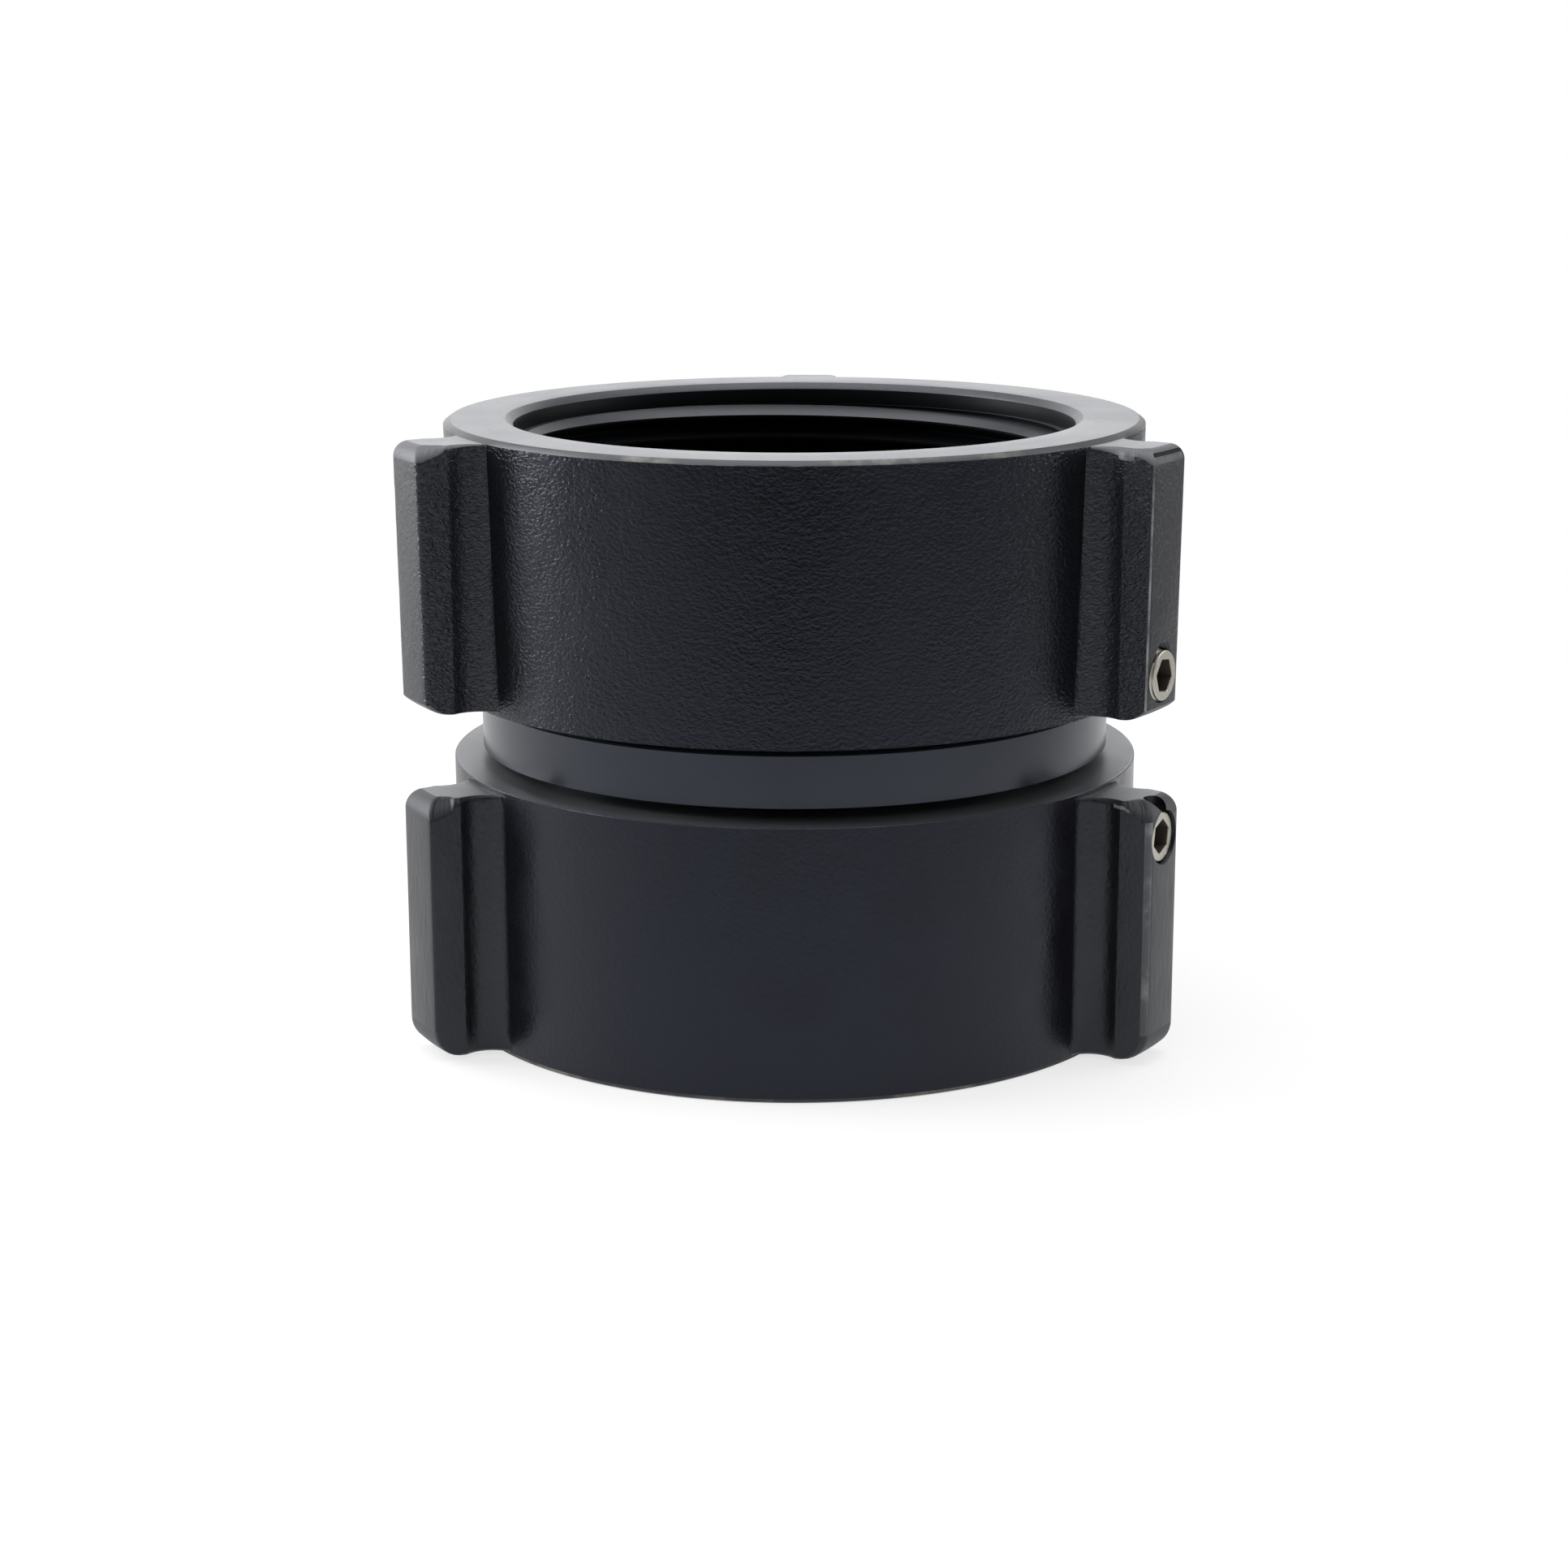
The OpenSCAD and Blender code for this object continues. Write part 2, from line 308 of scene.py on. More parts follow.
def turnedAnodised(name, look):
    # black anodised over lathe-turned aluminium: fine rings, small pits, and wear that lets
    # the bare metal through where wear is above 0
    look = plainTurned | look
    material, tree, place = startMaterial(name)
    parts = addNode(tree, "ShaderNodeSeparateXYZ", {"Vector": place}).outputs
    flat = addNode(tree, "ShaderNodeCombineXYZ", {"X": parts["X"], "Y": parts["Y"]})
    reach = addNode(tree, "ShaderNodeVectorMath", {0: flat}, operation="LENGTH").outputs["Value"]
    across = addNode(tree, "ShaderNodeMath", {0: reach, 1: parts["Z"]}, operation="ADD")
    groove = addNode(tree, "ShaderNodeTexNoise", {
        "W": across, "Scale": 1000 / turning["pitch"], "Detail": 3.0}, noise_dimensions="1D")
    bump = addNode(tree, "ShaderNodeBump", {
        "Height": groove, "Strength": 1.0, "Distance": turning["depth"] * mm})
    cloud = addNode(tree, "ShaderNodeTexNoise", {
        "Vector": place, "Scale": 1000 / turning["cloud"], "Detail": 5.0, "Roughness": 0.65})
    shift = look["wear"] * turning["wearShift"]
    bare = addNode(tree, "ShaderNodeMapRange", {
        "Value": cloud, "From Min": turning["worn"][0] - shift, "From Max": turning["worn"][1] - shift,
        "To Max": min(look["wear"], 1.0)}, interpolation_type="SMOOTHSTEP")
    tone = addNode(tree, "ShaderNodeMix", {
        "Factor": bare, 6: linearColor(look["base"]), 7: linearColor(look["bare"])}, data_type="RGBA")
    spots = addNode(tree, "ShaderNodeTexNoise", {
        "Vector": place, "Scale": 1000 / turning["spot"], "Detail": 1.0})
    pit = addNode(tree, "ShaderNodeMapRange", {
        "Value": spots, "From Min": turning["pitted"][0], "From Max": turning["pitted"][1],
        "To Min": 1 - turning["pitDark"] * look["pits"], "To Max": 1.0})
    pitted = addNode(tree, "ShaderNodeVectorMath", {0: tone.outputs[2], "Scale": pit}, operation="SCALE")
    rough = addNode(tree, "ShaderNodeMapRange", {
        "Value": cloud, "From Min": noiseSpan[0], "From Max": noiseSpan[1],
        "To Min": look["roughness"] - turning["drift"], "To Max": look["roughness"] + turning["drift"]})
    shader = addNode(tree, "ShaderNodeBsdfPrincipled", {
        "Base Color": pitted, "Roughness": rough, "Normal": bump, "Metallic": look["metallic"],
        "Specular Tint": look["sheen"], "Specular IOR Level": look["specular"]})
    addNode(tree, "ShaderNodeOutputMaterial", {"Surface": shader})
    return material


def mottled(name, look):
    # one colour, with a roughness that strays over a span; bump is how deep the same mottle
    # goes, in millimetres
    look = {"metallic": 0.0, "specular": 0.5, "detail": 3.0, "bump": 0} | look
    material, tree, place = startMaterial(name)
    mottle = addNode(tree, "ShaderNodeTexNoise", {
        "Vector": place, "Scale": 1000 / look["mottle"], "Detail": look["detail"]})
    rough = addNode(tree, "ShaderNodeMapRange", {
        "Value": mottle, "To Min": look["roughness"][0], "To Max": look["roughness"][1]})
    shader = addNode(tree, "ShaderNodeBsdfPrincipled", {
        "Base Color": linearColor(look["base"]), "Roughness": rough, "Metallic": look["metallic"],
        "Specular IOR Level": look["specular"]})
    if look["bump"]:
        bump = addNode(tree, "ShaderNodeBump", {"Height": mottle, "Distance": look["bump"] * mm})
        tree.links.new(bump.outputs[0], shader.inputs["Normal"])
    addNode(tree, "ShaderNodeOutputMaterial", {"Surface": shader})
    return material


# millimetres, numbers of points, and in degrees the crease from which an edge is sharp
ring = {
    "radius": 47.5, "rim": 47.15, "slope": 0.7, "innerBevel": 0.08, "edge": 0.12, "step": 0.6,
    "lugs": 3, "lugRadius": 57.235, "lugWidth": 8.8,
    "fluteRadius": 4.0, "waistWidth": 7.8, "waist": 50.7,
    "counterDepth": 3.0, "counterClear": 0.15, "mouthWidth": 1.1, "mouthDepth": 0.85,
    "threadForm": 2.05, "pitch": 3.175, "threadFlat": 0.3, "laps": (-2, 8),
    "recessCut": 1.65, "gasket": 6.35, "gasketClear": 0.1,
    "neckRadius": 38.08, "neckHeight": 11.15, "neckLip": (0.3, 0.14),
    "columns": 140, "faceColumns": 14, "flankColumns": 34, "footColumns": 12, "cornerColumns": 3,
    "rows": 30, "topRows": 20, "bottomRows": 9, "rowEase": 1.25, "lipRows": 4, "crease": 32,
}
# the turning tool tore the upper edges of the flanks: which profile each side of each lug follows,
# plugged lug first, and how much of it rolls over; the tear's least depth and its two kinds of
# jag; the roll's slope and least width; and where the plugged lug's torn edge is scuffed bright
tearing = {
    "sides": ((("right", 1.0), ("right", 0.15)), (("right", 0.4), ("left", 0.4)),
              (("left", 0.15), ("left", 1.0))),
    "least": 0.15, "walk": 0.03, "grain": 0.015, "roll": (1.2, 0.04), "scuff": (51.5, 54.3),
}
# how far a flank steps in just above its lower end and just below its upper end: distance from
# that end, then inset
endInset = {"low": ([0, 0.06, 0.23], [0.12, 0.05, 0]), "high": ([0, 0.036, 0.145], [0.06, 0.02, 0])}
# what differs between the two: flare is the widening from the inner face to the mouth, corners are the bevels
# on the long edges of each lug, plugged lug first, each end of a lug is turned to a radius that runs in from
# its tip, cap is how many rows of the plugged lug's tip are turned before a few rows of painted shadow under
# that tip, and tears are the depths of a torn edge against radius. The plug sits off the race's middle by
# lift and aside, and stands proud of the lug; the punch mark above it is a shallow dish in the upper ring and
# an upright pocket in the lower one; lumps are the casting's
swivels = {
    "upper": {
        "mouthUp": True, "flare": 0.5, "turn": -32.4, "corners": (0.2, 0.5, 0.6), "seed": 11,
        "top": {"radius": 2.0, "run": 2.0}, "bottom": {"radius": 4.6, "run": 3.45},
        "threadStart": 5.29, "cap": 9,
        "plug": {"lift": 0.25, "aside": -0.15, "proud": 0.3, "spin": 21.4},
        "punch": {"up": 2.3, "depth": 0.8, "floor": 1.3, "mouth": 2.4},
        "lumps": {"size": 3.0, "depth": 0.035, "offset": (3.7, 1.3, 5.1)},
        "tears": {
            "right": ([48.2, 50.1, 51.9, 54.5, 56.0, 57.4], [0.15, 0.57, 0.9, 0.86, 1.2, 1.95]),
            "left": ([48.2, 50, 52, 53.4, 53.8, 54.6, 55.9, 57.4],
                     [0.15, 0.3, 0.38, 0.5, 0.85, 1.2, 1.5, 2.05])}},
    "lower": {
        "mouthUp": False, "flare": 0.0, "turn": -31.3, "corners": (0.75, 0.4, 0.3), "seed": 29,
        "top": {"radius": 2.4, "run": 2.4}, "bottom": {"radius": 3.8, "run": 3.8},
        "threadStart": 4.0, "cap": 99,
        "plug": {"lift": 0.3, "aside": -0.15, "proud": -0.5, "spin": -10},
        "punch": {"foot": 2.2, "top": 8, "floor": 1.5, "mouth": 1.6, "reach": 55.7},
        "lumps": {"size": 7.0, "depth": 0.012, "offset": (7.4, 2.6, 10.2)},
        "tears": {
            "right": ([48.2, 50, 52.8, 54.9, 56.6, 57.4], [0.15, 0.28, 0.58, 1.02, 2.12, 2.35]),
            "left": ([48.2, 52.2, 54.1, 54.3, 55.5, 57.0], [0.15, 0.39, 0.69, 1.54, 1.93, 2.4])}},
}
# the bore slot carries painted shade and the ledge slot painted light
sideSlot, turnedSlot, shadedBoreSlot, rimSlot, lugSlot, edgeSlot, faceSlot, shadedRoundSlot, litLedgeSlot = range(9)


def towardsMouth(z, height, kind):
    # 0 at the inner face and 1 at the mouth
    return z / height if kind["mouthUp"] else 1 - z / height


def bodyRadius(z, height, kind):
    return ring["radius"] + kind["flare"] * towardsMouth(z, height, kind)


def flankOutline(radius):
    # one side of a lug seen from above, from its foot on a ring of this radius to the end of
    # the flute
    centre = ring["waistWidth"] / 2 + ring["fluteRadius"]
    reach = ring["fluteRadius"]
    edge = -math.acos((centre - ring["lugWidth"] / 2) / reach)
    low, high = 0.0, math.pi / 2
    for _ in range(40):  # the angle at which the flute meets the ring
        middle = (low + high) / 2
        out = math.hypot(ring["waist"] - reach * math.sin(middle), centre - reach * math.cos(middle))
        low, high = (middle, high) if out > radius else (low, middle)
    turns = np.linspace(low, edge, ring["footColumns"])
    return np.stack([ring["waist"] - reach * np.sin(turns), centre - reach * np.cos(turns)], 1)


def endAngle(end):
    # how far round its radius a lug's end is turned
    return math.asin(end["run"] / end["radius"])


def lugReach(z, height, kind):
    # radius of the turned lug end at height z above the ring's lower face
    full = ring["lugRadius"] - kind["flare"] * (1 - towardsMouth(z, height, kind))
    radius = full.copy()
    for end, inside in ((kind["top"], height - ring["step"] - z), (kind["bottom"], z - ring["step"])):
        size = end["radius"]
        rise = np.clip(size - inside, 0, size)
        radius = np.minimum(radius, full - end["run"] + np.sqrt(size ** 2 - rise ** 2))
    return radius


def heights(height, kind):
    # heights of the rows of points up the outside, closer where the lug ends round over
    low, high = ring["step"], height - ring["step"]
    turns = {key: np.linspace(0, endAngle(kind[key]), ring[key + "Rows"] + 1) for key in ("top", "bottom")}
    bottom = low + kind["bottom"]["radius"] * (1 - np.cos(turns["bottom"]))
    top = high - kind["top"]["radius"] * (1 - np.cos(turns["top"]))[::-1]
    middle = bottom[-1] + (top[0] - bottom[-1]) * (1 - np.linspace(1, 0, ring["rows"]) ** ring["rowEase"])
    return np.concatenate([bottom[:-1], middle, top[1:]])


def tearDepths(rng, tear, reach):
    # how far below the lug's end the flank is torn, at each of these radii
    jag = np.cumsum(rng.normal(0, tearing["walk"], len(reach)))
    jag -= np.linspace(jag[0], jag[-1], len(reach))
    grain = rng.normal(0, tearing["grain"], len(reach))
    return np.maximum(np.interp(reach, *tear) + jag + grain, tearing["least"])


def lugColumns(height, kind, corner, tears, rng):
    # outline columns across one lug, from one foot to the other: arrays of x, y and z. Each
    # column's rows are moved so that row number "above" runs along the torn edge
    levels = heights(height, kind)
    low, high = levels[0], levels[-1]
    below, above = ring["bottomRows"], len(levels) - 1 - ring["topRows"]
    half = ring["lugWidth"] / 2
    flank = np.linspace(0, 1, ring["flankColumns"] + 1)[1:]
    corners, feetCount = ring["cornerColumns"], ring["footColumns"]
    count = feetCount + len(flank)

    def moved(depth):
        torn = high - depth
        top = high - (high - levels) * depth / (high - levels[above])
        span = levels[above] - levels[below]
        middle = levels[below] + (levels - levels[below]) * (torn - levels[below]) / span
        row = np.arange(len(levels))
        return np.where(row >= above, top, np.where(row > below, middle, levels))

    def rolled(depth, z):
        # the torn edge rolls over from the flank to the end
        t = np.clip(1 - (high - z) / depth, 0, 1)
        slope, least = tearing["roll"]
        return (slope * depth + least) * (0.4 * t + 0.6 * (1 - np.sqrt(1 - t ** 2)))

    def makeSide(tear, amount):
        made = []
        shares = np.concatenate([flank, np.ones(corners)])
        outer = math.sqrt(ring["lugRadius"] ** 2 - half ** 2)
        footLine = flankOutline(bodyRadius(np.array([high]), height, kind)[0])
        along = np.concatenate([footLine[:, 0], footLine[-1, 0] + shares * (outer - footLine[-1, 0])])
        across = np.concatenate([footLine[:, 1], np.full(len(shares), half)])
        depths = tearDepths(rng, tear, np.hypot(along, across))
        depths[count:] = depths[count - 1]
        for index in range(count + corners):
            depth = depths[index]
            z = moved(depth) if index else levels
            step = max(index - count + 1, 0) / corners
            feet = np.array([flankOutline(bodyRadius(level, height, kind)) for level in z])
            if index < feetCount:
                x, u = feet[:, index, 0], feet[:, index, 1].copy()
            else:
                reachAt = lugReach(z, height, kind)
                u = np.full_like(z, half - corner * (1 - math.cos(step * math.pi / 2)))
                inner = reachAt - corner * (1 - math.sin(step * math.pi / 2))
                endX = np.maximum(np.sqrt(inner ** 2 - u ** 2), feet[:, -1, 0] + 0.02)
                x = feet[:, -1, 0] + shares[index - feetCount] * (endX - feet[:, -1, 0])
            if index:
                inset = np.interp(z - low, *endInset["low"]) + np.interp(high - z, *endInset["high"])
                u = u - inset - rolled(depth, z) * amount
            made.append(np.stack([x, u, z], 1))
        return np.array(made)

    first, second = (makeSide(kind["tears"][tear], share) for tear, share in tears)
    facing = []
    angles = [np.arctan2(line[:, 1], line[:, 0]) for line in (first[-1], second[-1])]
    edges = [np.hypot(line[:, 0], line[:, 1]) for line in (first[-1], second[-1])]
    for share in np.linspace(0, 1, ring["faceColumns"] + 1)[1:-1]:
        z = first[-1][:, 2] + (second[-1][:, 2] - first[-1][:, 2]) * share
        turn = -angles[0] + (angles[0] + angles[1]) * share
        reach = edges[0] + (edges[1] - edges[0]) * share
        facing.append(polar(reach, turn, z))
    return first * [1, -1, 1], np.array(facing), second[::-1]


def rimShape(kind, mouth):
    # bevel at one end of the body: its width and height
    if not mouth:
        return ring["innerBevel"], ring["innerBevel"]
    width = ring["radius"] + kind["flare"] - ring["rim"]
    return width, width * ring["slope"]


def wallRadii(soften, z, height, kind):
    # radii of one column up the ring's own side, between the heights of the lugs' ends; where
    # the mouth's bevel starts there, soften rounds that corner, and is 0 beside a lug
    radii = bodyRadius(z, height, kind)
    if kind["flare"]:
        radii[-1] -= ring["edge"] * 0.5 * soften
        radii[-2] -= ring["edge"] * 0.1 * soften
    return radii


def boreProfile(turn, kind, height, soften):
    # radii, and depths from the mouth's face, from the outer rim there in through the bore to
    # the outer rim at the inner face
    mouthUp, threadStart = kind["mouthUp"], kind["threadStart"]
    edge = ring["edge"]
    crest = mountRadius("upper_thread")
    root = crest + ring["threadForm"]
    counter = root + ring["counterClear"]
    mouth = counter + ring["mouthWidth"]
    recess = root + ring["recessCut"]
    deepest = height - ring["neckHeight"]
    gasketTop = deepest - ring["gasket"] - ring["gasketClear"]
    rim = ring["rim"]

    def rimEnd(atMouth):
        wide, high = rimShape(kind, atMouth)
        level = ring["step"]
        z = height - level if atMouth == mouthUp else level
        outside = bodyRadius(np.array([z]), height, kind)[0]
        inside = outside - wide
        if high < level - 0.01:
            points = [(outside, level), (outside, high), (inside, 0), (inside - edge, 0)]
        else:
            points = [(outside - edge * 0.5 * soften, level), (outside - edge * 0.9, level - edge * 0.6),
                      (inside + edge * 0.4, edge * 0.3), (inside, edge * 0.05), (inside - edge, 0)]
        points = np.array(points)
        return points if atMouth else points[::-1] * [1, -1] + [0, height]

    face = [(rim - (rim - mouth) * share, 0) for share in (0.3, 0.6)]
    entry = [(mouth + edge, 0), (mouth - edge * 0.2, edge * 0.3), (mouth - edge * 0.8, edge * 0.7),
             (counter + edge * 0.6, ring["mouthDepth"] - edge * 0.5),
             (counter, ring["mouthDepth"] + edge * 0.5), (counter, ring["counterDepth"])]

    # the hose thread, lap by lap: a crest's flat, a flank, a root's flat, and the next flank
    drift = ring["pitch"] * turn / (2 * math.pi) * (-1 if mouthUp else 1)
    flat = ring["threadFlat"]
    flank = (ring["pitch"] - 2 * flat) / 2
    starts = [threadStart + drift + lap * ring["pitch"] for lap in range(*ring["laps"])]
    keys = [start + share for start in starts for share in (0, flat, flat + flank, flat + flank + flat)]
    depths = np.clip(keys, ring["counterDepth"], gasketTop)
    thread = np.stack([np.interp(depths, keys, [crest, crest, root, root] * len(starts)), depths], 1)
    # the flank that ends at the first crest below the counterbore is the one that shows; it takes the mouth's
    # painted light, and the other laps the bore's painted shade
    shown = ring["counterDepth"], ring["counterDepth"] + ring["pitch"]
    threadSlots = [litLedgeSlot if k % 4 == 0 and shown[0] < depth <= shown[1] else shadedBoreSlot
                   for k, depth in enumerate(depths)]

    neck, (lipWide, lipRound) = ring["neckRadius"], ring["neckLip"]
    inner = [(recess, gasketTop), (recess, deepest), (neck + edge, deepest), (neck, deepest + edge)]
    inner += raceGroove(height - ballHeight["upper"] + ringFace, 1)
    inner += [(neck, height - lipWide), (neck + lipWide / 2, height - lipRound), (neck + lipWide, height)]
    back = [(neck + (rim - neck) * share, height) for share in (0.4, 0.7)]
    ends = rimEnd(True), rimEnd(False)
    # each piece with the slot of the strips that end at its points
    # painted light on the mouth's bevel; painted shade on the counterbore wall and everything deeper, save
    # the one flank
    pieces = [(ends[0], rimSlot), (face, turnedSlot), (entry[:2], turnedSlot), (entry[2:-1], litLedgeSlot),
              (entry[-1:], shadedBoreSlot), (thread[:1], litLedgeSlot)]
    pieces += [(thread[k:k + 1], threadSlots[k]) for k in range(1, len(thread))]
    pieces += [(inner, shadedBoreSlot), (back, turnedSlot), (ends[1][:1], turnedSlot), (ends[1][1:], sideSlot)]
    profile = np.concatenate([points for points, _ in pieces])
    return profile, [slot for points, slot in pieces for _ in points][1:]


class Shell:
    # gathers patches of quads, with a slot for each
    def __init__(self):
        self.points, self.faces, self.slots = [], [], []

    def patch(self, grid, slotOf):
        # grid is columns by rows by xyz
        start, (wide, high) = len(self.points), grid.shape[:2]
        self.points.extend(grid.reshape(-1, 3))
        for i in range(wide - 1):
            for j in range(high - 1):
                a = start + i * high + j
                self.faces.append((a, a + high, a + high + 1, a + 1))
                self.slots.append(slotOf(i, j))


def turned(points, angle):
    c, s = math.cos(angle), math.sin(angle)
    return points @ np.array([[c, s, 0], [-s, c, 0], [0, 0, 1]])


def swivelRing(name, node, kind, materials):
    low, top = nodeSpan(node)
    height = top - low
    shell = Shell()
    across = ring["faceColumns"]
    turn = math.radians(kind["turn"])
    rng = np.random.default_rng(kind["seed"])
    inner = []
    for lug in range(ring["lugs"]):
        middle = turn + lug * 2 * math.pi / ring["lugs"]
        left, facing, right = lugColumns(height, kind, kind["corners"][lug], tearing["sides"][lug], rng)
        block = np.concatenate([left, facing, right])
        sideCount, (wide, high) = len(left), block.shape[:2]
        below, above = ring["bottomRows"], high - 1 - ring["topRows"]
        plugged, cap = lug == 0, high - 1 - kind["cap"]

        def blockSlot(i, j):
            outward = sideCount - 1 - ring["cornerColumns"] <= i < wide - sideCount + ring["cornerColumns"]
            corner = outward and (i < sideCount - 1 or i >= wide - sideCount)
            uncut = plugged and outward and j < cap
            # painted shadow: the plugged lug's face rows just under its turned tip take the bore's near black
            if uncut and j >= cap - ring["lipRows"]:
                return shadedBoreSlot
            if j < 2 or j == high - 2:
                return turnedSlot
            # painted shade: the rounded ends of the lug and its rolled, torn top edge take a darker copy of
            # the turned finish
            if (outward and j < below) or (j >= above and 0 < i < wide - 2 and not uncut):
                return shadedRoundSlot
            reach = math.hypot(*block[i, j, :2])
            scuffed = (plugged and i < sideCount and j == above - 1
                       and tearing["scuff"][0] < reach < tearing["scuff"][1])
            if (plugged and corner) or scuffed:
                return edgeSlot
            return faceSlot if outward and not corner else lugSlot

        shell.patch(turned(block, middle), blockSlot)
        for row in (0, -1):  # flat ends of the lug
            strips = []
            for k in range(sideCount):
                a, b = left[k, row], right[-1 - k, row]
                if k == sideCount - 1:
                    line = np.concatenate([[a], facing[:, row], [b]])
                else:
                    ends = [np.array([math.hypot(p[0], p[1]), math.atan2(p[1], p[0]), p[2]]) for p in (a, b)]
                    share = np.linspace(0, 1, across + 1)[:, None]
                    line = polar(*(ends[0] + (ends[1] - ends[0]) * share).T)
                strips.append(line)
            shell.patch(turned(np.array(strips), middle), lambda i, j: turnedSlot)
        # the foot's angle changes with height where the ring is flared
        z = left[0][:, 2]
        foot = np.arctan2(-left[0][:, 1], left[0][:, 0])
        footEnds = (foot[-1], foot[0]) if kind["mouthUp"] else (foot[0], foot[-1])
        inner += [(middle, footEnds[0] * share, footEnds[1] * share, 0.0)
                  for share in np.linspace(-1, 1, across + 1)]
        share = np.linspace(0, 1, ring["columns"] + 1)
        soften = np.clip(np.minimum(share, 1 - share) * ring["columns"] / 3, 0, 1)
        sector = 2 * math.pi / ring["lugs"]
        wall = []
        for s, k in zip(share, soften):
            reach = wallRadii(k, z, height, kind)
            angle = middle + foot + (sector - 2 * foot) * s
            wall.append(polar(reach, angle, z))
            if 0 < s < 1:
                inner.append((middle, *(e + (sector - 2 * e) * s for e in footEnds), k))
        shell.patch(np.array(wall), lambda i, j: sideSlot)
    inner.append((inner[0][0] + 2 * math.pi, *inner[0][1:]))
    columns, marks = [], []
    for middle, atMouth, atInner, soften in inner:
        profile, slots = boreProfile(middle + atMouth, kind, height, soften)
        marks.append(slots)
        share = np.clip((profile[:, 1] - height / 2) / 2, 0, 1)
        angle = middle + atMouth + (atInner - atMouth) * share
        z = height - profile[:, 1] if kind["mouthUp"] else profile[:, 1]
        columns.append(polar(profile[:, 0], angle, z))
    shell.patch(np.array(columns), lambda i, j: marks[i][j])
    points = np.array(shell.points) + [0, 0, low]
    thing = newObject(name, meshFrom(name, points, shell.faces, shell.slots))
    for material in materials:
        thing.data.materials.append(material)
    return thing


def roughenSide(thing, lumps):
    # low lumps of the casting, on the side faces only
    mesh, offset = thing.data, Vector(lumps["offset"])
    kept = {v for face in mesh.polygons if face.material_index not in (sideSlot, lugSlot, faceSlot)
            for v in face.vertices}
    normals = [v.normal.copy() for v in mesh.vertices]
    for vertex, normal in zip(mesh.vertices, normals):
        if vertex.index not in kept:
            lump = noise.fractal(vertex.co / (lumps["size"] * mm) + offset, 1.0, 2.0, 2)
            vertex.co += normal * lump * lumps["depth"] * mm
    mesh.update()


def plugFace(kind, z):
    # radius of the lug's outer face where the plug goes in
    low, top = nodeSpan("upper_ring" if kind["mouthUp"] else "lower_ring")
    return lugReach(np.array([z - low]), top - low, kind)[0]


def plugPlace(key):
    # height of the plug's axis; the hole was drilled a little off the middle of the race
    return ballHeight[key] + swivels[key]["plug"]["lift"]


def cutPlugHole(thing, kind, z):
    # tapped hole, and the punch mark above it that locks the plug
    outer, middle = plugFace(kind, z), math.radians(kind["turn"])
    aside, beyond = kind["plug"]["aside"] * mm, outer + 3
    outward = Matrix.Rotation(math.pi / 2, 4, "Y")
    hole = revolve("holeCutter", [
        (0, plug["inner"]), (plug["hole"], plug["inner"]), (plug["hole"], outer - 0.2),
        (plug["holeMouth"], outer), (plug["holeMouth"], beyond), (0, beyond)], 64)
    hole.data.transform(Matrix.Translation((0, aside, z * mm)) @ outward)
    mark = kind["punch"]
    if kind["mouthUp"]:
        floor = outer - mark["depth"]
        punch = revolve("punchCutter", [
            (0, floor), (mark["floor"], floor), (mark["mouth"], outer + 0.1), (mark["mouth"], beyond),
            (0, beyond)], 32)
        punch.data.transform(Matrix.Translation((0, aside, (z + mark["up"]) * mm)) @ outward)
    else:
        foot, top = z + mark["foot"], z + mark["top"]
        punch = revolve("punchCutter", [(0, foot), (mark["floor"], foot), (mark["mouth"], top), (0, top)], 32)
        punch.data.transform(Matrix.Translation((mark["reach"] * mm, aside, 0)))
    for cutter in (hole, punch):
        cutter.data.transform(Matrix.Rotation(middle, 4, "Z"))
        for material in thing.data.materials:
            cutter.data.materials.append(material)
        for face in cutter.data.polygons:
            face.material_index = lugSlot
        cut = thing.modifiers.new("plugHole", "BOOLEAN")
        cut.operation = "DIFFERENCE"
        cut.solver = "EXACT"
        cut.material_mode = "INDEX"
        cut.object = cutter
        keepResult(thing, cut)
        bpy.data.objects.remove(cutter)


def revolve(name, outline, steps):
    # outline is radius and height in millimetres; points on the axis close into one
    columns = []
    for i in range(steps + 1):
        a = 2 * math.pi * i / steps
        columns.append([(r * math.cos(a), r * math.sin(a), z) for r, z in outline])
    shell = Shell()
    shell.patch(np.array(columns), lambda i, j: 0)
    return newObject(name, meshFrom(name, shell.points, shell.faces))


sleeve = {"bore": 31.75, "radius": 38.0, "shoulder": 43.55, "shoulderHeight": 7.1, "bevel": 0.15,
          "corner": 0.1, "steps": 360, "crease": 28}
# clear is the room between a ball and its race, and lip the gap where the race's halves meet
ballRow = {"count": 37, "diameter": 6.35, "radius": 38.04, "clear": 0.075, "lip": 0.04,
           "raceSteps": 9, "steps": 24}
gasket = {"hole": 32.5, "radius": 39.9, "edge": 0.35, "edgeSteps": 4, "steps": 180, "crease": 40}
# inner is the distance from the ring's axis to the plug's inner end, tip that tapered end's
# radius and length, and bare the plain length at each end of the thread; rim is radius and
# depth from the outer end, then hex is scale and depth down the socket, which drill ends
plug = {"major": 3.5, "minor": 3.05, "pitch": 0.9, "flats": 4.1, "inner": 41.3, "tip": (2.2, 0.9),
        "rim": ((3.05, 0.5), (3.32, 0.36), (3.3, 0.08), (3.2, 0)),
        "hex": ((1.03, 0), (1.0, 0.15), (1.0, 2.6), (0.55, 2.9)), "drill": 3.1,
        "bare": (0.7, 0.4), "sunk": 0.02, "threadSteps": 40, "steps": 72, "crease": 30,
        "threadCrease": 50, "hole": 3.6, "holeMouth": 3.68}


